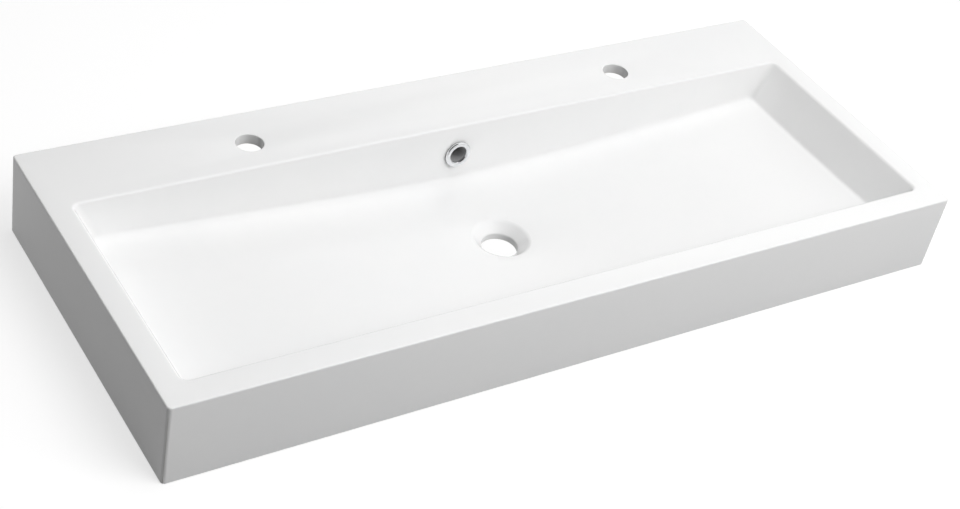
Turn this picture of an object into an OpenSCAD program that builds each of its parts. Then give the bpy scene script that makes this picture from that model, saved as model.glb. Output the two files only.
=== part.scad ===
// Wide trough washbasin with two tap holes, cast in one piece from mineral marble, with an open
// underside, a chrome overflow ring and the fittings that stay on the casting.
// X runs along the width, Y runs back to the wall and Z runs up. The origin is the centre of the
// base. All sizes are in millimetres and all angles in degrees.

/* [Overall] */
// Width of the casting
basin_w = 1100; // [1000:10:1300]
// Depth of the casting, from the wall to the front face
basin_d = 450; // [420:5:500]
// Height of the casting
basin_h = 110; // [107:1:130]

/* [Rims and deck] */
// Depth of the tap deck, from the wall to the bowl
deck_d = 108; // [100:1:120]
// Width of each side rim
side_rim = 30; // [29:1:60]
// Depth of the front rim
front_rim = 34; // [33:1:50]
// Thickness of the deck and of the rims
deck_t = 14; // [10:0.5:20]
// Radius of the upright outer corners
corner_r = 5; // [3:0.5:10]
// Radius of the outer top edge
top_edge_r = 2; // [1:0.25:2.75]
// Radius of the outer bottom edge
base_edge_r = 1; // [0.5:0.25:2]

/* [Walls] */
// Thickness of the front and side skirts at the foot
skirt_t = 12; // [8:0.5:13]
// Thickness of the rear skirt at the foot
rear_t = 14; // [12:0.5:18]
// Thickness of the bowl's walls
bowl_wall_t = 12; // [9:0.5:12.5]
// Thickness of the bowl's floor
bowl_floor_t = 12; // [8:0.5:14]
// Release taper inside the skirts
release_a = 1.5; // [0.5:0.25:2]

/* [Bowl] */
// Depth of the floor at the ends of the bowl
end_depth = 55; // [40:1:65]
// Depth of the floor at the drain
drain_depth = 86.5; // [80:0.5:88]
// Slope of the end walls from upright
end_slope_a = 26; // [15:1:32]
// Slope of the long walls from upright
wall_slope_a = 3; // [2:0.25:5]
// Plan radius of the bowl's corners
bowl_corner_r = 9; // [8.5:0.5:20]
// Radius where the rim turns into the bowl
rim_r = 3.5; // [2:0.5:5]
// Radius where the long walls meet the floor
long_base_r = 8; // [5:0.5:8.5]
// Radius where the end walls meet the floor
end_base_r = 5; // [3:0.5:10]
// Distance over which the valley of the floor is rounded
valley_r = 40; // [20:5:80]
// Share of its run at which the floor falls from front and back, against the fall along the width
cross_share = 0.93; // [0.5:0.01:1]

/* [Drain] */
// Distance of the drain's centre from the wall
drain_back = 236; // [225:1:250]
// Diameter of the waste hole
waste_d = 47; // [44:0.5:50]
// Diameter of the dish round the waste hole
dish_d = 82; // [76:1:88]
// Depth of the dish
dish_h = 11.5; // [8:0.5:12]
// Width over which the dish's lip is rounded
lip_w = 4; // [2:0.5:6]
// Height of the waste hole from its foot to the dish
waste_wall = 8.5; // [5:0.5:9]
// Radius of the waste hole's eased top edge
waste_edge_r = 1.2; // [0.5:0.1:2]
// Diameter of the flat face under the drain, for the nut of a waste
waste_pad_d = 98; // [94:1:110]

/* [Tap holes] */
// Diameter of the tap holes
tap_d = 35; // [32:0.5:37]
// Distance of each tap hole from the middle of the basin
tap_x = 275; // [220:5:300]
// Distance of the tap holes from the wall
tap_back = 61; // [55:1:66]
// Radius of the tap hole's eased edge
tap_edge_r = 1; // [0.5:0.25:2]

/* [Overflow] */
// Depth of the overflow's centre below the rim
overflow_depth = 42.5; // [38:0.5:46]
// Outer diameter of the chrome flange
ring_d = 36; // [33:0.5:38]
// Height of the flange off its washer
ring_h = 4; // [3:0.25:6]
// Radius of the flange's outer edge
ring_edge_r = 2.2; // [1:0.1:2.8]
// Radius with which the flange turns into its bore
ring_lip_r = 2.8; // [1:0.1:3]
// Diameter of the ring's open bore
ring_bore_d = 23; // [20:0.5:23.5]
// Diameter of the ring's tail
ring_tail_d = 26; // [25.5:0.25:27]
// Depth to which the tail reaches into the elbow
ring_grip = 9; // [6:0.5:11]
// Thickness of the rubber washer under the flange
washer_t = 1; // [0.5:0.25:2]
// Clearance round the tail in the wall
tail_gap = 0.75; // [0.25:0.25:1]
// Running clearance of threads and of what is pushed in
fit_gap = 0.1; // [0.05:0.05:0.2]

/* [Elbow] */
// Diameter of the elbow's flange
elbow_flange_d = 42; // [40:1:48]
// Thickness of the elbow's flange
elbow_flange_t = 4; // [3:0.5:6]
// Thickness of the gasket between flange and bowl wall
gasket_t = 2; // [1:0.5:3]
// Wall thickness of the elbow
elbow_wall = 2.5; // [2:0.25:3.5]
// Distance of the hose tail's axis from the elbow's flange
elbow_reach = 18; // [17:0.5:22]
// Outer diameter of the hose tail
hose_tail_d = 22; // [20:0.5:24]
// Length of the hose tail below the elbow's axis
hose_tail_l = 42; // [36:1:48]
// Distance from the elbow's axis to the shoulder that stops the hose
hose_stop = 22; // [20:1:26]
// Step of that shoulder out from the hose tail
hose_step = 1.5; // [1:0.25:2]

/* [Wall fixing] */
// Spacing of each pair of wall bolts
bolt_span = 280; // [200:5:320]
// Height of the wall bolts above the base
bolt_z = 56; // [45:1:60]
// Diameter of the sleeve's bore
sleeve_bore_d = 11; // [9:0.5:12]
// Wall thickness of the sleeve
sleeve_wall = 1.8; // [1.4:0.2:2.4]
// Diameter of the sleeve's flange
sleeve_flange_d = 26; // [22:1:30]
// Thickness of the sleeve's flange
sleeve_flange_t = 3; // [2:0.5:4]
// Width of the thickened pad round each bolt hole
bolt_pad_d = 38; // [34:1:44]
// Height of the pad off the rear skirt at the foot
bolt_pad_h = 4; // [3.5:0.5:6]

/* [Cabinet fixing] */
// Outer diameter of the threaded inserts
insert_d = 12; // [11:0.5:14]
// Diameter of the insert's thread, at its root
insert_bore_d = 6.8; // [6:0.2:8.4]
// Length of the inserts
insert_l = 20; // [14:1:26]
// Depth of the locking grooves round the inserts
groove_d = 0.8; // [0.4:0.1:1.2]
// Depth of the insert's foot inside the base
insert_sunk = 0.5; // [0.25:0.25:1]
// Diameter of the boss round each insert
boss_d = 30; // [24:1:34]
// Depth by which each boss runs into the skirts beside it
boss_in = 4; // [3:0.5:6]

/* [Stiffening] */
// Thickness of the ribs in the rear channel
rib_t = 10; // [6:0.5:12]
// Depth of the ribs below the underside of the deck
rib_h = 42; // [30:1:50]
// Distance of each rib from the centre of its tap hole
rib_off = 84; // [62:1:90]
// Rise of the arch under each rib
rib_arch_h = 14; // [6:1:20]
// Width left at each end of a rib's arch
rib_foot = 12; // [8:1:18]

/* [Hose notches] */
// Width of rear skirt left between each rib and the notch behind its tap hole
notch_land = 4; // [3:0.5:8]
// Height of rear skirt left above the notches
notch_lintel = 10; // [8:1:20]
// Radius of the notches' upper corners
notch_r = 16; // [6:1:24]

/* [Hidden] */
$fn = 64;

// Overlap that keeps cuts and joins clean
eps = 1;
// Segments on each corner, long side and short side of a bowl outline
corner_n = 4;
long_n = 20;
short_n = 6;
// Segments on a rounded edge and rings on the floor
edge_n = 4;
floor_n = 7;
// Steps of a small curved profile
curve_n = 6;
// Facets of the larger rounds that show
round_fn = 96;
// Share of the dish's and the pad's width where the lofts' spokes end inside them
end_share = 0.4;
// Power that sets the rings on the floor closer together at its foot
ring_power = 0.85;
// Small chamfer on cut edges and thread ends
chamfer = 0.6;
// Locking grooves on each insert
groove_n = 2;

// Middle of the bowl and half its size at the rim, along Y
bowl_y = (front_rim - deck_d) / 2;
half_x = basin_w / 2 - side_rim;
half_y = (basin_d - front_rim - deck_d) / 2;
// Drain, wall and tap positions along Y
wall_y = basin_d / 2;
drain_y = wall_y - drain_back;
tap_y = wall_y - tap_back;
// Half the length of the floor, and the fall of the floor away from the valley
floor_half = half_x - tan(end_slope_a) * end_depth;
floor_fall = (drain_depth - end_depth) / (norm([floor_half, valley_r]) - valley_r);
// Height of the dish's bottom and of the face under the drain
dish_z = basin_h - drain_depth - dish_h;
waste_z = dish_z - waste_wall;
// Thickness of the rear skirt at a bolt pad
pad_t = rear_t + bolt_pad_h;
// Overflow centre on the face of the bowl's back wall
overflow_y = bowl_y + half_y - tan(wall_slope_a) * overflow_depth;
overflow_z = basin_h - overflow_depth;
// Depth of the elbow's flange behind the face of the bowl wall, and the elbow's inner radius
flange_at = bowl_wall_t + gasket_t;
elbow_bore = hose_tail_d / 2 - elbow_wall;
socket_r = ring_tail_d / 2 + fit_gap;
// Places of the bolts and inserts
bolt_xs = [for (s = [-1, 1], t = [-1, 1]) s * tap_x + t * bolt_span / 2];
insert_x = basin_w / 2 - skirt_t + boss_in - boss_d / 2;
insert_ys = [-basin_d / 2 + skirt_t - boss_in + boss_d / 2, wall_y - rear_t + boss_in - boss_d / 2];
sleeve_r = sleeve_bore_d / 2 + sleeve_wall;

function sum(v) = v * [for (i = v) 1];

// Depth of the bowl's floor below the rim
function floor_depth(x, y) =
    drain_depth - floor_fall * (norm([x, cross_share * (y - drain_y), valley_r]) - valley_r);

// A point on a curve that leaves a towards b and arrives at c from b
function bend(a, b, c, k) = (1 - k) * (1 - k) * a + 2 * k * (1 - k) * b + k * k * c;

// Outline of a rounded rectangle as [corner signs or shares of a side, outward direction]
spokes = [
    for (q = [0:3])
        let (sx = (q == 0 || q == 3) ? 1 : -1, sy = q < 2 ? 1 : -1)
        let (along_x = q % 2 == 0, n = along_x ? long_n : short_n)
        each concat(
            [for (k = [0:corner_n]) let (a = 90 * (q + k / corner_n)) [sx, sy, cos(a), sin(a)]],
            [
                for (k = [1:n - 1])
                    let (u = 1 - 2 * k / n)
                    along_x ? [sx * u, sy, 0, sy] : [sx, sy * u, sx, 0]
            ]
        )
];

// Plan point of a spoke on an outline of half size hx by hy and corner radius r, moved out by
// ox along X and oy along Y
function outline(s, hx, hy, r, ox, oy) =
    [s[0] * (hx - r) + s[2] * (r + ox), bowl_y + s[1] * (hy - r) + s[3] * (r + oy)];

// Plan point of a spoke on the bowl's wall at depth d, for a bowl grown by g
function on_wall(s, d, g, ox, oy) =
    outline(
        s,
        half_x + g / cos(end_slope_a) - tan(end_slope_a) * d,
        half_y + g / cos(wall_slope_a) - tan(wall_slope_a) * d,
        bowl_corner_r + g, ox, oy
    );

// Depth at which a spoke's wall meets the floor, for a floor lowered by t
function foot_depth(s, g, t, d, n) =
    n == 0 ? d : let (p = on_wall(s, d, g, 0, 0)) foot_depth(s, g, t, floor_depth(p.x, p.y) + t, n - 1);

function in_space(p, d) = [p.x, p.y, basin_h - d];

// Point of a spoke on the bowl's wall, and on its floor
function wall_point(s, d, g) = in_space(on_wall(s, d, g, 0, 0), d);
function floor_point(p, t) = in_space(p, floor_depth(p.x, p.y) + t);

// Direction in which a spoke reaches the drain
function drain_dir(s, i, n) =
    let (p = on_wall(s, end_depth, 0, 0, 0), a = atan2(p.y - drain_y, p.x))
    let (even = 360 * (i + 0.5 - corner_n / 2 - short_n / 2) / n)
    let (b = a + 360 * round((even - a) / 360), c = (b + even) / 2)
    [cos(c), sin(c)];

// One spoke of a bowl from the rim down its wall, round its foot and along its floor to radius end_r.
// The bowl is grown by g and its floor lowered by t. A spoke starts with the points given in head.
function spoke_points(s, i, n, g, t, end_r, head) =
    let (
        cut_x = (end_base_r + g) * tan((90 - end_slope_a) / 2),
        cut_y = (long_base_r + g) * tan((90 - wall_slope_a) / 2),
        cut = cut_x * s[2] * s[2] + cut_y * s[3] * s[3],
        d = foot_depth(s, g, t, end_depth, 5),
        high = wall_point(s, d - cut, g),
        foot = wall_point(s, d, g),
        low_plan = on_wall(s, d, g, -cut_x, -cut_y),
        low = floor_point(low_plan, t),
        dir = drain_dir(s, i, n),
        last = [end_r * dir.x, drain_y + end_r * dir.y]
    )
    concat(
        head,
        [for (k = [0:edge_n]) bend(high, foot, low, k / edge_n)],
        [for (k = [1:floor_n]) floor_point(low_plan + (last - low_plan) * pow(k / floor_n, ring_power), t)]
    );

// The rim's rounded edge, running out of the top
function rim_head(s) =
    let (out = on_wall(s, 0, 0, rim_r, rim_r), edge = wall_point(s, 0, 0), down = wall_point(s, rim_r, 0))
    concat(
        [in_space(out, -eps)],
        [for (k = [0:edge_n]) bend(in_space(out, 0), edge, down, k / edge_n)]
    );

// Closed solid through a ring of spokes of equal length, with a flat cap at each end
module loft(rows) {
    n = len(rows);
    m = len(rows[0]);
    function middle(j) = [for (axis = [0:2]) sum([for (r = rows) r[j][axis]]) / n];
    polyhedron(
        points = concat([for (r = rows) each r], [middle(0), middle(m - 1)]),
        faces = [
            for (i = [0:n - 1])
                let (a = i * m, b = ((i + 1) % n) * m)
                each concat(
                    [[b, a, n * m]],
                    [
                        for (j = [0:m - 2])
                            each [[a + j, b + j + 1, a + j + 1], [a + j, b + j, b + j + 1]]
                    ],
                    [[a + m - 1, b + m - 1, n * m + 1]]
                )
        ],
        convexity = 6
    );
}

// The space inside the bowl
module bowl_space() {
    n = len(spokes);
    loft([for (i = [0:n - 1]) spoke_points(spokes[i], i, n, 0, 0, dish_d * end_share, rim_head(spokes[i]))]);
}

// The bowl's outside, as seen from below
module bowl_outside() {
    n = len(spokes);
    g = bowl_wall_t;
    loft([
        for (i = [0:n - 1])
            spoke_points(
                spokes[i], i, n, g, bowl_floor_t, waste_pad_d * end_share,
                [wall_point(spokes[i], deck_t / 2, g)]
            )
    ]);
}

// Everything that is open under the deck, with release taper on all sides
module under_space() {
    function at(s, z) =
        let (in = tan(release_a) * z, r = corner_r)
        let (hx = basin_w / 2 - skirt_t - in, hy = (basin_d - skirt_t - rear_t) / 2 - in)
        let (p = outline(s, hx, hy, r, 0, 0))
        [p.x, p.y - bowl_y + (skirt_t - rear_t) / 2, z];
    loft([for (s = spokes) [at(s, basin_h - deck_t), at(s, 0), at(s, -eps)]]);
}

// Cutter that rounds a convex edge along X, with the edge at the origin and the solid at -Y, -Z
module edge_profile(r) {
    difference() {
        translate([-r, -r]) square(r + eps);
        translate([-r, -r]) circle(r);
    }
}

// Cutter that rounds the outer edge at the top face
module top_edge_cut(r) {
    hx = basin_w / 2;
    hy = basin_d / 2;
    long_l = basin_w - 2 * corner_r;
    short_l = basin_d - 2 * corner_r;
    for (a = [0, 180]) rotate(a) {
        translate([0, hy, 0]) rotate([90, 0, 90]) linear_extrude(long_l, center = true) edge_profile(r);
        translate([hx, 0, 0]) rotate([90, 0, 0]) linear_extrude(short_l, center = true) edge_profile(r);
    }
    for (x = [-1, 1], y = [-1, 1])
        translate([x * (hx - corner_r), y * (hy - corner_r), 0])
            rotate(x > 0 ? (y > 0 ? 0 : 270) : (y > 0 ? 90 : 180))
                rotate_extrude(angle = 90) translate([corner_r, 0]) edge_profile(r);
}

// Rounded block that the casting is cut from
module block() {
    difference() {
        linear_extrude(basin_h) {
            square([basin_w - 2 * corner_r, basin_d], center = true);
            square([basin_w, basin_d - 2 * corner_r], center = true);
            for (x = [-1, 1], y = [-1, 1])
                translate([x * (basin_w / 2 - corner_r), y * (basin_d / 2 - corner_r)]) circle(corner_r);
        }
        translate([0, 0, basin_h]) top_edge_cut(top_edge_r);
        mirror([0, 0, 1]) top_edge_cut(base_edge_r);
    }
}

// Drain dish, from above the floor down to the waste hole, and the waste hole
module drain_space() {
    r = waste_d / 2;
    e = waste_edge_r;
    lip = [dish_d / 2, basin_h - floor_depth(dish_d / 2, drain_y)];
    foot = [r, dish_z];
    corner = lip - [lip_w, 0];
    along = (corner - foot) / norm(corner - foot);
    translate([0, drain_y, 0]) rotate_extrude($fn = round_fn)
        polygon(concat(
            [[0, waste_z - eps], [r, waste_z - eps]],
            [for (k = [0:curve_n]) bend(foot - [0, e], foot, foot + along * e, k / curve_n)],
            [
                for (k = [0:curve_n])
                    bend(corner - along * lip_w, corner, lip + [0, chamfer / 2], k / curve_n)
            ],
            [lip + [0, 2 * eps], [0, lip.y + 2 * eps]]
        ));
}

// Tap hole with an eased top edge
module tap_hole() {
    r = tap_d / 2;
    e = tap_edge_r;
    translate([0, 0, basin_h - deck_t - eps]) cylinder(h = deck_t + 2 * eps, r = r);
    translate([0, 0, basin_h]) rotate_extrude()
        polygon(concat(
            [[r - eps, eps], [r - eps, -e]],
            [for (k = [0:curve_n]) let (a = 90 * k / curve_n) [r + e - e * cos(a), e * sin(a) - e]],
            [[r + e, eps]]
        ));
}

// Place of the overflow: X along the basin, Y up the wall and Z out of the wall into the bowl
module at_overflow() {
    translate([0, overflow_y, overflow_z]) rotate([90 - wall_slope_a, 0, 0]) children();
}

// Ribs that join the bowl's back wall to the rear skirt under the deck, each with an arched foot
module ribs() {
    front = bowl_y + half_y + eps;
    back = wall_y - rear_t / 2;
    top = basin_h - deck_t / 2;
    foot = basin_h - deck_t - rib_h;
    w = back - front - 2 * rib_foot;
    arch_r = (w * w / 4 + rib_arch_h * rib_arch_h) / (2 * rib_arch_h);
    for (s = [-1, 1], t = [-1, 1])
        translate([s * tap_x + t * rib_off - rib_t / 2, 0, 0])
            rotate([90, 0, 90]) linear_extrude(rib_t)
                difference() {
                    translate([front, foot]) square([back - front, top - foot]);
                    translate([(front + back) / 2, foot + rib_arch_h - arch_r]) circle(arch_r, $fn = round_fn);
                }
}

// Notches in the rear skirt behind the tap holes, open at the foot, for the hoses and a spanner
module hose_notches() {
    half_w = rib_off - rib_t / 2 - notch_land;
    top = basin_h - deck_t - notch_lintel;
    reach = rear_t + tan(release_a) * basin_h;
    for (s = [-1, 1])
        translate([s * tap_x, wall_y + eps, 0]) rotate([90, 0, 0]) linear_extrude(reach + 2 * eps) {
            translate([-half_w, -eps]) square([2 * half_w, top - notch_r + eps]);
            translate([notch_r - half_w, -eps]) square([2 * (half_w - notch_r), top + eps]);
            for (t = [-1, 1]) translate([t * (half_w - notch_r), top - notch_r]) circle(notch_r);
        }
}

// Bosses for the cabinet inserts, pads for the wall bolts and the pad under the drain
module bosses() {
    for (s = [-1, 1], y = insert_ys)
        translate([s * insert_x, y, 0]) cylinder(h = basin_h - deck_t / 2, d = boss_d);
    for (x = bolt_xs) {
        translate([x, wall_y - rear_t / 2, bolt_z]) rotate([90, 0, 0])
            cylinder(h = pad_t - rear_t / 2, d = bolt_pad_d);
        translate([x - bolt_pad_d / 2, wall_y - pad_t, bolt_z])
            cube([bolt_pad_d, pad_t - rear_t / 2, basin_h - deck_t / 2 - bolt_z]);
    }
    translate([0, drain_y, waste_z]) cylinder(h = waste_wall + dish_h / 2, d = waste_pad_d);
}

// Holes through the casting
module holes() {
    drain_space();
    for (s = [-1, 1]) translate([s * tap_x, tap_y, 0]) tap_hole();
    at_overflow() translate([0, 0, -bowl_wall_t - eps])
        cylinder(h = bowl_wall_t + 2 * eps, r = ring_tail_d / 2 + tail_gap);
    for (x = bolt_xs)
        translate([x, wall_y + eps, bolt_z]) rotate([90, 0, 0])
            cylinder(h = pad_t + 2 * eps, r = sleeve_r + fit_gap);
    for (s = [-1, 1], y = insert_ys)
        translate([s * insert_x, y, -eps])
            cylinder(h = insert_sunk + insert_l + eps, r = insert_d / 2 + fit_gap);
}

module basin_body() {
    color([0.95, 0.95, 0.94]) difference() {
        block();
        difference() {
            under_space();
            bowl_outside();
            ribs();
            bosses();
        }
        bowl_space();
        holes();
        hose_notches();
    }
}

// Chrome ring: a rounded flange on the washer, and a tail through the wall into the elbow
module overflow_ring() {
    r = ring_d / 2;
    bore = ring_bore_d / 2;
    tail = ring_tail_d / 2;
    end = -flange_at - ring_grip;
    top = washer_t + ring_h;
    color([0.80, 0.81, 0.83]) at_overflow() rotate_extrude($fn = round_fn)
        polygon(concat(
            [[bore, end], [tail - chamfer, end], [tail, end + chamfer], [tail, washer_t], [r, washer_t]],
            [
                for (k = [0:curve_n])
                    bend([r, top - ring_edge_r], [r, top], [r - ring_edge_r, top], k / curve_n)
            ],
            [
                for (k = [0:curve_n])
                    bend([bore + ring_lip_r, top], [bore, top], [bore, top - ring_lip_r], k / curve_n)
            ]
        ));
}

// Flat ring between two radii, standing h high
module flat_ring(inner, outer, h) {
    rotate_extrude() translate([inner, 0]) square([outer - inner, h]);
}

// Rubber washer between the flange and the bowl's face
module overflow_ring_washer() {
    color([0.12, 0.12, 0.12]) at_overflow()
        flat_ring(ring_tail_d / 2 + fit_gap, ring_d / 2 - ring_edge_r / 2, washer_t);
}

// Gasket between the elbow's flange and the back of the bowl wall
module overflow_elbow_gasket() {
    color([0.10, 0.10, 0.11]) at_overflow() translate([0, 0, -flange_at])
        flat_ring(ring_tail_d / 2 + tail_gap, elbow_flange_d / 2 - gasket_t / 2, gasket_t);
}

// Plastic elbow: a flange, a socket for the ring's tail, and a hose tail that points down
module overflow_elbow() {
    body_r = socket_r + elbow_wall;
    passage_r = ring_bore_d / 2;
    tail_r = hose_tail_d / 2;
    color([0.86, 0.86, 0.84]) at_overflow() translate([0, 0, -flange_at]) difference() {
        union() {
            translate([0, 0, -elbow_flange_t]) cylinder(h = elbow_flange_t, d = elbow_flange_d);
            translate([0, 0, -elbow_reach]) cylinder(h = elbow_reach, r = body_r);
            translate([0, 0, -elbow_reach]) sphere(r = body_r);
            translate([0, 0, -elbow_reach]) rotate([90, 0, 0]) {
                cylinder(h = hose_stop, r = tail_r + hose_step);
                cylinder(h = hose_tail_l - chamfer, r = tail_r);
                translate([0, 0, hose_tail_l - chamfer])
                    cylinder(h = chamfer, r1 = tail_r, r2 = tail_r - chamfer);
            }
        }
        translate([0, 0, -ring_grip - fit_gap]) cylinder(h = ring_grip + fit_gap + eps, r = socket_r);
        translate([0, 0, -elbow_reach]) cylinder(h = elbow_reach, r = passage_r);
        translate([0, 0, -elbow_reach]) sphere(r = passage_r);
        translate([0, 0, -elbow_reach]) rotate([90, 0, 0]) cylinder(h = hose_tail_l + eps, r = elbow_bore);
    }
}

// Flanged sleeves that keep the wall bolts off the casting
module wall_fixing_sleeves() {
    color([0.88, 0.88, 0.86])
        for (x = bolt_xs) translate([x, wall_y, bolt_z]) rotate([90, 0, 0]) difference() {
            union() {
                cylinder(h = pad_t, r = sleeve_r);
                translate([0, 0, pad_t]) cylinder(h = sleeve_flange_t, d = sleeve_flange_d);
            }
            translate([0, 0, -eps]) cylinder(h = pad_t + sleeve_flange_t + 2 * eps, d = sleeve_bore_d);
        }
}

// Brass inserts with grooves that lock them in the casting
module cabinet_inserts() {
    r = insert_d / 2;
    bore = insert_bore_d / 2;
    g = groove_d;
    step = insert_l / (2 * groove_n + 1);
    color([0.72, 0.58, 0.30])
        for (s = [-1, 1], y = insert_ys) translate([s * insert_x, y, insert_sunk]) rotate_extrude()
            polygon(concat(
                [[bore + chamfer, 0], [r, 0]],
                [
                    for (k = [0:groove_n - 1])
                        let (z = step * (2 * k + 1))
                        each [[r, z], [r - g, z + g], [r - g, z + step - g], [r, z + step]]
                ],
                [[r, insert_l], [bore, insert_l], [bore, chamfer]]
            ));
}

basin_body();
overflow_ring();
overflow_ring_washer();
overflow_elbow();
overflow_elbow_gasket();
wall_fixing_sleeves();
cabinet_inserts();
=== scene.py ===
"""Wide trough washbasin of white cast mineral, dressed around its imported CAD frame."""

import math

import bpy
from mathutils import Matrix, Vector

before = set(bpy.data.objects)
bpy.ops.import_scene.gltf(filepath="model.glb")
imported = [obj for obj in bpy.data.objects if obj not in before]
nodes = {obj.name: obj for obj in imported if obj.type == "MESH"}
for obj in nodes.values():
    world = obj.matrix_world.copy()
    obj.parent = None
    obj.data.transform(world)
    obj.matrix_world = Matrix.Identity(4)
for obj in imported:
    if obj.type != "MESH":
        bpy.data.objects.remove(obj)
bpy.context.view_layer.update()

# Sizes of the casting, in metres, as the CAD frame has them: outside, rim of the bowl, slopes of its
# walls, fall of its floor, drain dish, deck, and the overflow ring's place and lip
HALF_W, HALF_D, TOP = 0.550, 0.225, 0.110
RIM_HALF_X, RIM_HALF_Y, BOWL_Y = 0.520, 0.154, -0.037
WALL_TILT = math.radians(3)
END_SLOPE, WALL_SLOPE = math.tan(math.radians(26)), math.tan(WALL_TILT)
END_DEPTH, DRAIN_DEPTH, VALLEY, CROSS = 0.055, 0.0865, 0.040, 0.93
DRAIN_Y, DISH_R, WASTE_BASE = -0.011, 0.041, 0.0035
DECK_T = 0.014
OVERFLOW_Y, OVERFLOW_Z, LIP_BACK = 0.11477, 0.0675, 0.0022

# How far the gelcoat reaches, in metres: out of the bowl's planes and round the dish, in from the
# outside faces, and down to just above the waste's foot and the deck's underside
BOWL_MARGIN, DISH_MARGIN, FACE_MARGIN = 0.006, 0.001, 0.0013
WASTE_MARGIN, DECK_MARGIN = 0.0005, 0.0008
# Half the length over which the ring's polish gives way to the dull tail
LIP_BLEND = 0.0006

# Colours, as linear red, green and blue
GEL_COOL, GEL_WARM = (0.876, 0.879, 0.880), (0.894, 0.894, 0.892)
FILLER_DARK, FILLER_PALE = (0.60, 0.585, 0.555), (0.75, 0.735, 0.70)
SCREED_PALE, PORE = (0.79, 0.78, 0.755), (0.46, 0.445, 0.42)
CHROME_DARK, CHROME_PALE = (0.80, 0.81, 0.825), (0.86, 0.868, 0.88)
TAIL_DARK, TAIL_PALE = (0.34, 0.34, 0.345), (0.41, 0.41, 0.415)
RUBBER_BLACK, RUBBER_DUSTY = (0.028, 0.028, 0.029), (0.060, 0.060, 0.060)
PLASTIC_DULL, PLASTIC_PALE = (0.72, 0.715, 0.69), (0.79, 0.788, 0.77)
BRASS_DARK, BRASS_BRIGHT, TARNISH = (0.66, 0.50, 0.24), (0.76, 0.62, 0.33), (0.42, 0.30, 0.15)
WHITE = (1.0, 1.0, 1.0, 1.0)
RAW_ROUGH = 0.72

# Smooth shading: distance that joins split vertices, and the angle above which an edge stays sharp
WELD = 0.000004
SHARP_ANGLE = math.radians(32.0)

# Floor: size and height; its grey for rays that carry light, its grey for rays that look at it, and
# its own glow for the latter
FLOOR_SIZE, FLOOR_Z = 16.0, -0.0003
GREY_UNSEEN, GREY_SEEN, FLOOR_LIFT = (0.25, 0.25, 0.25), (0.42, 0.42, 0.42), 0.67
# Distances from the middle between which the floor runs out to white
FADE_START, FADE_END = 0.8, 1.6
# Painted light: the floor glows white under the basin, over the basin's own shadow, and this glow ends
# this far inside its outline
INSET_X, INSET_Y = 0.012, 0.014
# Painted light: a white glow patch behind each hose notch, over the basin's shadow; its middle, and where
# its edges start and end their fade
PATCH_X, PATCH_Y = 0.30, 0.297
PATCH_FADE_X, PATCH_FADE_Y = (0.14, 0.20), (0.030, 0.065)

# World: its level for rays that carry light, and the dark stretch of ceiling with its direction,
# reach, fully dark share of that reach, and level
AMBIENT = 0.02
DARK_CEILING = Vector((-0.50, -0.30, 0.80)).normalized()
DARK_REACH, DARK_CORE, DARK_LEVEL = math.radians(52), 0.85, 0.05

# Point in the basin that the lamps are aimed at
MIDDLE = Vector((0, 0, 0.05))

# The photograph's camera: place and clipping in metres, angles, lens and sensor in millimetres
CAMERA_AT = (-1.15506, -1.40855, 1.40472)
AZIMUTH, ELEVATION, ROLL = (math.radians(a) for a in (38.8885, 37.9517, 12.5722))
LENS, SENSOR = 67.901, 36.0
CLIP_START, CLIP_END = 0.05, 60.0


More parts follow.
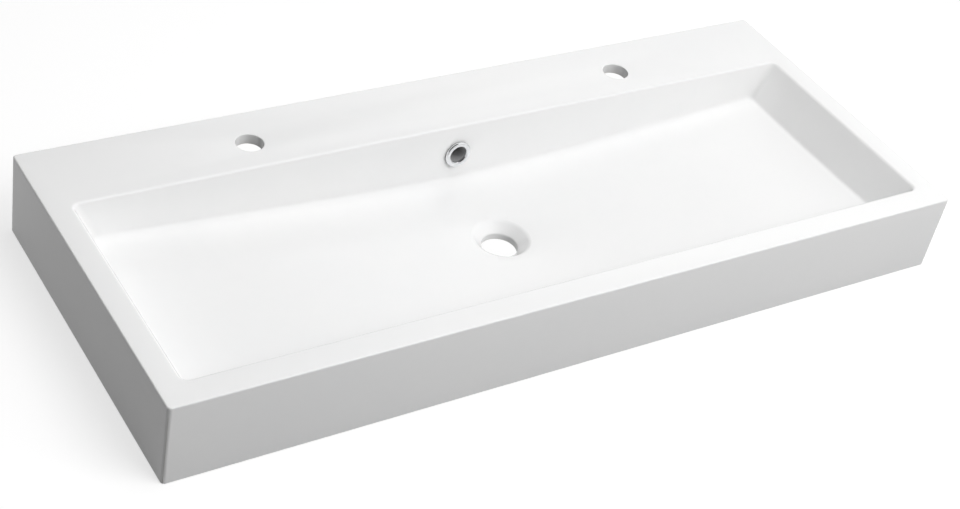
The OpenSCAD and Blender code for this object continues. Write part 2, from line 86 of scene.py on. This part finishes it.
class Graph:
    """Node tree of a material or world, with short calls for the nodes used here."""

    def __init__(self, owner):
        self.owner = owner
        owner.use_nodes = True
        self.tree = owner.node_tree
        self.tree.nodes.clear()
        self.place = None

    def put(self, socket, value):
        if isinstance(value, bpy.types.NodeSocket):
            self.tree.links.new(value, socket)
        elif value is not None:
            socket.default_value = value

    def node(self, kind, inputs=None, **settings):
        n = self.tree.nodes.new("ShaderNode" + kind)
        for key, value in settings.items():
            setattr(n, key, value)
        for key, value in (inputs or {}).items():
            self.put(n.inputs[key], value)
        return n

    def math(self, operation, a, b=None):
        return self.node("Math", {0: a, 1: b}, operation=operation).outputs[0]

    def chain(self, operation, values):
        total = values[0]
        for value in values[1:]:
            total = self.math(operation, total, value)
        return total

    def add(self, *values):
        return self.chain("ADD", values)

    def minus(self, a, b):
        return self.math("SUBTRACT", a, b)

    def times(self, *values):
        return self.chain("MULTIPLY", values)

    def highest(self, *values):
        return self.chain("MAXIMUM", values)

    def lowest(self, *values):
        return self.chain("MINIMUM", values)

    def positive(self, value):
        return self.math("ABSOLUTE", value)

    def above(self, value, limit):
        return self.math("GREATER_THAN", value, limit)

    def below(self, value, limit):
        return self.math("LESS_THAN", value, limit)

    def length(self, *sides):
        return self.math("SQRT", self.add(*(self.times(side, side) for side in sides)))

    def coords(self):
        if self.place is None:
            self.place = self.node("TexCoord").outputs["Object"]
        return self.place

    def xyz(self):
        n = self.node("SeparateXYZ", {"Vector": self.coords()})
        return n.outputs[0], n.outputs[1], n.outputs[2]

    def stretched(self, scale):
        return self.node("Mapping", {"Vector": self.coords(), "Scale": scale}).outputs[0]

    def noise(self, scale, detail=2.0, rough=0.5, vector=None):
        """Noise with about that many swells to the metre."""
        inputs = {"Vector": vector or self.coords(), "Scale": scale, "Detail": detail, "Roughness": rough}
        return self.node("TexNoise", inputs).outputs[0]

    def grains(self, scale):
        return self.node("TexVoronoi", {"Vector": self.coords(), "Scale": scale}).outputs["Distance"]

    def ramp(self, value, low, high, to_low=0.0, to_high=1.0):
        """Smooth step from one level to the other between the two limits, flat beyond them."""
        inputs = {"Value": value, "From Min": low, "From Max": high, "To Min": to_low, "To Max": to_high}
        return self.node("MapRange", inputs, interpolation_type="SMOOTHSTEP").outputs[0]

    def blend(self, fac, a, b):
        n = self.node("Mix", data_type="RGBA")
        colours = [s for s in n.inputs if s.type == "RGBA"]
        self.put(n.inputs[0], fac)
        for socket, value in zip(colours, (a, b)):
            self.put(socket, (*value, 1.0) if isinstance(value, tuple) else value)
        return [s for s in n.outputs if s.type == "RGBA"][0]

    def bump(self, height, strength, distance, normal=None):
        inputs = {"Height": height, "Strength": strength, "Distance": distance, "Normal": normal}
        return self.node("Bump", inputs).outputs[0]

    def principled(self, **inputs):
        named = {key.replace("_", " "): value for key, value in inputs.items()}
        return self.node("BsdfPrincipled", named).outputs[0]

    def looking(self):
        """1 for rays from the camera and off or through shiny pieces, 0 for rays that carry light."""
        path = self.node("LightPath").outputs
        return self.highest(path["Is Camera Ray"], path["Is Glossy Ray"], path["Is Transmission Ray"])

    def finish(self, surface, kind="OutputMaterial"):
        self.node(kind, {"Surface": surface})
        return self.owner


def moulded_side(g):
    """1 on the gelcoat faces that came off the mould, 0 on the raw underside."""
    x, y, z = g.xyz()
    depth = g.minus(TOP, z)
    off_x = g.positive(x)
    off_y = g.positive(g.minus(y, BOWL_Y))
    to_end = g.minus(g.minus(RIM_HALF_X, g.times(depth, END_SLOPE)), off_x)
    to_wall = g.minus(g.minus(RIM_HALF_Y, g.times(depth, WALL_SLOPE)), off_y)
    # The floor falls along a rounded valley from both ends to the drain
    from_drain = g.minus(y, DRAIN_Y)
    run = g.minus(g.length(x, g.times(from_drain, CROSS), VALLEY), VALLEY)
    end_run = math.hypot(RIM_HALF_X - END_SLOPE * END_DEPTH, VALLEY) - VALLEY
    fall = (DRAIN_DEPTH - END_DEPTH) / end_run
    above_floor = g.minus(g.minus(DRAIN_DEPTH, g.times(run, fall)), depth)
    bowl = g.lowest(to_end, to_wall, above_floor)
    inside_dish = g.minus(DISH_R + DISH_MARGIN, g.length(x, from_drain))
    dish = g.lowest(inside_dish, g.minus(z, WASTE_BASE + WASTE_MARGIN))
    deck = g.minus(z, TOP - DECK_T + DECK_MARGIN)
    outside = g.highest(g.minus(off_x, HALF_W), g.minus(g.positive(y), HALF_D))
    inside_bowl = g.above(bowl, -BOWL_MARGIN)
    near_face = g.above(outside, -FACE_MARGIN)
    upper = g.above(g.highest(dish, deck), 0.0)
    return g.highest(inside_bowl, near_face, upper)


def cast_mineral():
    g = Graph(bpy.data.materials.new("cast_mineral_look"))
    smooth = moulded_side(g)
    # Gelcoat: a barely uneven white with a polished, slightly wavy skin
    cloud = g.noise(3.5, 2.0)
    mist = g.noise(38.0, 3.0, 0.6)
    tone = g.ramp(g.add(g.times(cloud, 0.7), g.times(mist, 0.3)), 0.3, 0.7)
    gel = g.blend(tone, GEL_COOL, GEL_WARM)
    polish = g.ramp(g.noise(14.0, 4.0, 0.6), 0.3, 0.7, 0.13, 0.19)
    # Raw casting: filler grains, pores and the drag of the screed
    grain = g.noise(900.0, 3.0, 0.7)
    pores = g.ramp(g.grains(260.0), 0.02, 0.16)
    drag = g.noise(60.0, 3.0, 0.5, g.stretched((0.25, 1.6, 1.0)))
    raw = g.blend(g.ramp(grain, 0.3, 0.7), FILLER_DARK, FILLER_PALE)
    raw = g.blend(g.ramp(drag, 0.35, 0.65, 0.0, 0.35), raw, SCREED_PALE)
    raw = g.blend(pores, PORE, raw)
    colour = g.blend(smooth, raw, gel)
    rough = g.add(g.times(g.minus(polish, RAW_ROUGH), smooth), RAW_ROUGH)
    skin = g.bump(g.noise(240.0, 2.0, 0.45), 0.035, 0.0002)
    wave = g.bump(g.noise(22.0, 1.0, 0.4), 0.03, 0.0008, skin)
    height = g.add(g.times(grain, 0.5), g.times(pores, 0.5), g.times(drag, 0.8))
    height = g.times(height, g.minus(1.0, smooth))
    normal = g.bump(height, 0.55, 0.0006, wave)
    shader = g.principled(
        Base_Color=colour, Roughness=rough, Normal=normal, IOR=1.5, Coat_Weight=0.12, Coat_Roughness=0.06,
        Coat_IOR=1.5,
    )
    return g.finish(shader)


def chrome():
    g = Graph(bpy.data.materials.new("chrome_look"))
    haze = g.noise(160.0, 3.0, 0.6)
    wiped = g.noise(900.0, 2.0, 0.5, g.stretched((1.0, 1.0, 0.08)))
    rough = g.add(g.ramp(haze, 0.35, 0.7, 0.03, 0.06), g.ramp(wiped, 0.55, 0.75, 0.0, 0.03))
    colour = g.blend(g.ramp(haze, 0.3, 0.7), CHROME_DARK, CHROME_PALE)
    normal = g.bump(wiped, 0.03, 0.0001)
    polished = g.principled(Base_Color=colour, Metallic=1.0, Roughness=rough, Normal=normal)
    # The tail behind the lip is plated but not polished
    _, y, z = g.xyz()
    out = g.times(g.minus(OVERFLOW_Y, y), math.cos(WALL_TILT))
    out = g.add(out, g.times(g.minus(z, OVERFLOW_Z), math.sin(WALL_TILT)))
    grit = g.noise(1100.0, 2.0, 0.6)
    dull = g.blend(g.ramp(grit, 0.3, 0.7), TAIL_DARK, TAIL_PALE)
    satin = g.principled(Base_Color=dull, Metallic=0.0, Roughness=0.55, Normal=g.bump(grit, 0.2, 0.0002))
    front = g.ramp(out, LIP_BACK - LIP_BLEND, LIP_BACK + LIP_BLEND)
    return g.finish(g.node("MixShader", {0: front, 1: satin, 2: polished}).outputs[0])


def rubber():
    g = Graph(bpy.data.materials.new("rubber_look"))
    dust = g.noise(120.0, 4.0, 0.6)
    colour = g.blend(g.ramp(dust, 0.4, 0.75), RUBBER_BLACK, RUBBER_DUSTY)
    rough = g.ramp(dust, 0.3, 0.7, 0.55, 0.75)
    normal = g.bump(g.noise(1800.0, 2.0), 0.25, 0.0001)
    shader = g.principled(Base_Color=colour, Roughness=rough, Normal=normal, Specular_IOR_Level=0.35)
    return g.finish(shader)


def white_plastic():
    g = Graph(bpy.data.materials.new("white_plastic_look"))
    cloud = g.noise(45.0, 3.0, 0.55)
    spark = g.noise(1600.0, 2.0, 0.5)
    colour = g.blend(g.ramp(cloud, 0.3, 0.7), PLASTIC_DULL, PLASTIC_PALE)
    rough = g.ramp(cloud, 0.3, 0.7, 0.34, 0.46)
    normal = g.bump(spark, 0.18, 0.00012)
    shader = g.principled(
        Base_Color=colour, Roughness=rough, Normal=normal, Subsurface_Weight=0.08, Subsurface_Scale=0.002,
        Specular_IOR_Level=0.45,
    )
    return g.finish(shader)


def brass():
    g = Graph(bpy.data.materials.new("brass_look"))
    rings = g.noise(700.0, 2.0, 0.6, g.stretched((0.02, 0.02, 4.0)))
    tarnish = g.noise(90.0, 4.0, 0.6)
    colour = g.blend(g.ramp(rings, 0.3, 0.7), BRASS_DARK, BRASS_BRIGHT)
    colour = g.blend(g.ramp(tarnish, 0.55, 0.8, 0.0, 0.6), colour, TARNISH)
    rough = g.add(g.ramp(rings, 0.3, 0.7, 0.20, 0.30), g.ramp(tarnish, 0.5, 0.8, 0.0, 0.2))
    normal = g.bump(rings, 0.2, 0.0001)
    return g.finish(g.principled(Base_Color=colour, Metallic=1.0, Roughness=rough, Normal=normal))


def soft_edges():
    """Modifier tree that joins the split vertices of a CAD mesh and shades its shallow facets smooth."""
    tree = bpy.data.node_groups.new("smooth_facets", "GeometryNodeTree")
    tree.interface.new_socket("Geometry", in_out="INPUT", socket_type="NodeSocketGeometry")
    tree.interface.new_socket("Geometry", in_out="OUTPUT", socket_type="NodeSocketGeometry")
    n, link = tree.nodes, tree.links.new
    start, end = n.new("NodeGroupInput"), n.new("NodeGroupOutput")
    weld = n.new("GeometryNodeMergeByDistance")
    weld.inputs["Distance"].default_value = WELD
    angle = n.new("GeometryNodeInputMeshEdgeAngle")
    sharp = n.new("FunctionNodeCompare")
    sharp.operation = "GREATER_THAN"
    sharp.inputs[1].default_value = SHARP_ANGLE
    normals = n.new("GeometryNodeSetMeshNormal")
    normals.mode = "SHARPNESS"
    normals.inputs["Remove Custom"].default_value = True
    normals.inputs["Face Sharpness"].default_value = False
    link(start.outputs[0], weld.inputs["Geometry"])
    link(weld.outputs[0], normals.inputs["Mesh"])
    link(angle.outputs["Unsigned Angle"], sharp.inputs[0])
    link(sharp.outputs[0], normals.inputs["Edge Sharpness"])
    link(normals.outputs[0], end.inputs[0])
    return tree


looks = {
    "basin_body": ("cast_mineral", cast_mineral()),
    "overflow_ring": ("chrome", chrome()),
    "overflow_ring_washer": ("rubber", rubber()),
    "overflow_elbow": ("white_plastic", white_plastic()),
    "cabinet_inserts": ("brass", brass()),
}
looks["overflow_elbow_gasket"] = looks["overflow_ring_washer"]
looks["wall_fixing_sleeves"] = looks["overflow_elbow"]
smoothing = soft_edges()
for name, (slot, material) in looks.items():
    node = nodes[name]
    node.material_slots[0].material = material
    modifier = node.modifiers.new("smooth_facets", "NODES")
    modifier.node_group = smoothing


def floor_material():
    """Pale floor that keeps the object's shadow and runs out to white, except under the basin and behind
    the hose notches, where a painted white glow covers the shadow.
    """
    g = Graph(bpy.data.materials.new("floor_look"))
    x, y, _ = g.xyz()
    seen = g.looking()
    paint = g.principled(
        Base_Color=g.blend(seen, GREY_UNSEEN, GREY_SEEN), Roughness=0.9, Specular_IOR_Level=0.1
    )
    lift = g.node("Emission", {"Strength": g.times(seen, FLOOR_LIFT)}).outputs[0]
    lit = g.node("AddShader", {0: paint, 1: lift}).outputs[0]
    white = g.node("Emission", {"Strength": 1.0}).outputs[0]
    off_x, off_y = g.positive(x), g.positive(y)
    # Painted light: a white glow under the basin, where its shadow falls
    under = g.times(g.below(off_x, HALF_W - INSET_X), g.below(off_y, HALF_D - INSET_Y))
    # Behind each hose notch, where the floor is seen through a tap hole, a painted white glow covers the
    # basin's shadow
    patch_x = g.ramp(g.positive(g.minus(off_x, PATCH_X)), *PATCH_FADE_X, 1.0, 0.0)
    patch_y = g.ramp(g.positive(g.minus(y, PATCH_Y)), *PATCH_FADE_Y, 1.0, 0.0)
    far = g.ramp(g.length(x, y), FADE_START, FADE_END)
    fac = g.times(g.highest(under, g.times(patch_x, patch_y), far), seen)
    return g.finish(g.node("MixShader", {0: fac, 1: lit, 2: white}).outputs[0])


def make_floor():
    half = FLOOR_SIZE / 2
    mesh = bpy.data.meshes.new("floor")
    corners = [(-half, -half, 0), (half, -half, 0), (half, half, 0), (-half, half, 0)]
    mesh.from_pydata(corners, [], [(0, 1, 2, 3)])
    floor = bpy.data.objects.new("floor", mesh)
    floor.location = (0, 0, FLOOR_Z)
    bpy.context.scene.collection.objects.link(floor)
    mesh.materials.append(floor_material())


def make_world():
    """White studio all round, with a dark stretch of ceiling that only curved metal picks up."""
    g = Graph(bpy.data.worlds.new("studio"))
    level = g.ramp(g.looking(), 0.0, 1.0, AMBIENT, 1.0)
    way = g.node("TexCoord").outputs["Generated"]
    near = g.node("VectorMath", {0: way, 1: DARK_CEILING}, operation="DOT_PRODUCT").outputs["Value"]
    dark = g.ramp(near, math.cos(DARK_REACH), math.cos(DARK_CORE * DARK_REACH), 1.0, DARK_LEVEL)
    # Looked at straight, the ceiling stays white
    straight = g.node("LightPath").outputs["Is Camera Ray"]
    shown = g.highest(g.times(level, dark), straight)
    background = g.node("Background", {"Color": WHITE, "Strength": shown}).outputs[0]
    bpy.context.scene.world = g.finish(background, "OutputWorld")


def make_light(name, at, size, power, mirrored=False):
    """Soft box of that size in metres and power in watts, aimed at the middle of the basin."""
    data = bpy.data.lights.new(name, "AREA")
    data.shape = "RECTANGLE"
    data.size, data.size_y = size
    data.energy = power
    light = bpy.data.objects.new(name, data)
    light.location = at
    light.rotation_euler = (MIDDLE - Vector(at)).to_track_quat("-Z", "Y").to_euler()
    light.visible_glossy = mirrored
    bpy.context.scene.collection.objects.link(light)


def make_camera():
    """Camera at the photograph's place: front left, above, with a little roll."""
    data = bpy.data.cameras.new("camera")
    data.sensor_width = SENSOR
    data.lens = LENS
    data.clip_start, data.clip_end = CLIP_START, CLIP_END
    camera = bpy.data.objects.new("camera", data)
    camera.location = CAMERA_AT
    flat = math.cos(ELEVATION)
    away = Vector((math.sin(AZIMUTH) * flat, math.cos(AZIMUTH) * flat, -math.sin(ELEVATION)))
    turn = Matrix.Rotation(ROLL, 3, "Z").to_quaternion()
    camera.rotation_mode = "QUATERNION"
    camera.rotation_quaternion = away.to_track_quat("-Z", "Y") @ turn
    bpy.context.scene.collection.objects.link(camera)
    bpy.context.scene.camera = camera


make_floor()
make_world()
make_light("overhead", (0.0, 0.0, 2.4), (2.0, 1.5), 22.0)
make_light("front_high", (0.6, -1.5, 2.2), (1.8, 1.4), 44.2)
make_light("right_front_fill", (2.4, -2.4, 1.4), (3.0, 2.0), 25.2)
make_light("left_front_fill", (-2.4, -2.4, 1.4), (3.0, 2.0), 7.2)
make_light("right_back_fill", (2.4, 2.4, 1.4), (3.0, 2.0), 10.7, mirrored=True)
make_light("back_high", (0.0, 2.5, 2.5), (4.0, 2.5), 14.4)
make_camera()
bpy.context.scene.view_settings.view_transform = "Standard"
